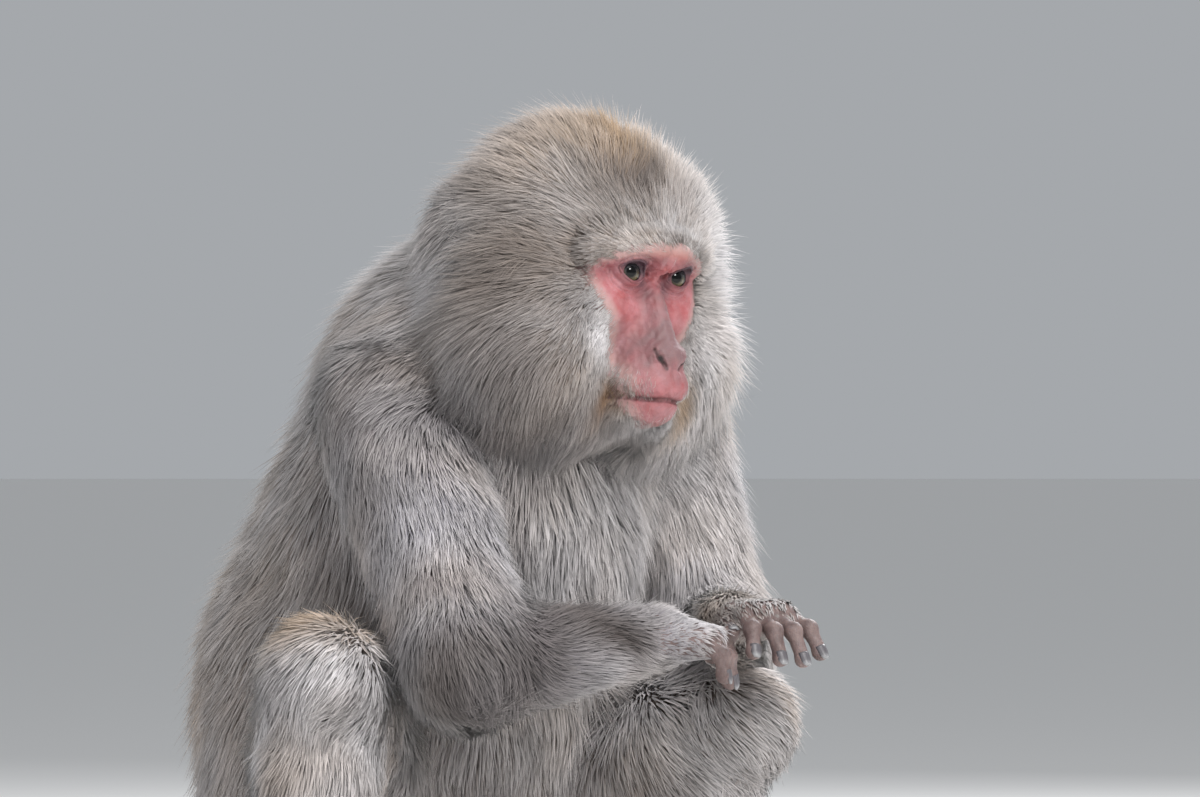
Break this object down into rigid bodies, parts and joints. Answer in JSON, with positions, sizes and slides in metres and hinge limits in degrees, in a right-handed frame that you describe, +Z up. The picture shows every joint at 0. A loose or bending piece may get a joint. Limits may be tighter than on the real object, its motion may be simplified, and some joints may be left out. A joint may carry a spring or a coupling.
{
  "type": "macaque monkey figure",
  "caption": "Life-size seated macaque with a thick grey-brown coat, bare pink face, forearms folded over one knee, feet flat on the floor and a short tail.",
  "frame": {"origin": "the middle of the seat pad's flat, on the floor between the two hips", "axes": "+Z up, the face and the belly face -Y, the animal's left side is +X"},
  "size_m": [0.3743, 0.4229, 0.5104],
  "materials": {
    "coat": "thick soft hair, grey-brown with pale tips",
    "face_skin": "bare pink-red skin, soft sheen",
    "hand_skin": "bare mauve-brown skin, soft sheen",
    "pad_skin": "hardened bare skin, matt",
    "eye": "wet, clear surface over an olive iris"
  },
  "bodies": {
    "root": {"eye_right": "eye", "ear_right": "hand_skin", "eye_left": "eye", "ear_left": "hand_skin", "seat_pad": "pad_skin", "pelvis": "coat", "belly": "coat", "chest": "coat", "neck": "coat", "tail": "coat", "head": "coat", "face": "face_skin", "hand_right": "hand_skin", "hand_left": "hand_skin", "forearm_right": "coat", "upper_arm_right": "coat", "forearm_left": "coat", "upper_arm_left": "coat", "foot_right": "hand_skin", "shin_right": "coat", "thigh_right": "coat", "foot_left": "hand_skin", "shin_left": "coat", "thigh_left": "coat"}
  },
  "joints": []
}
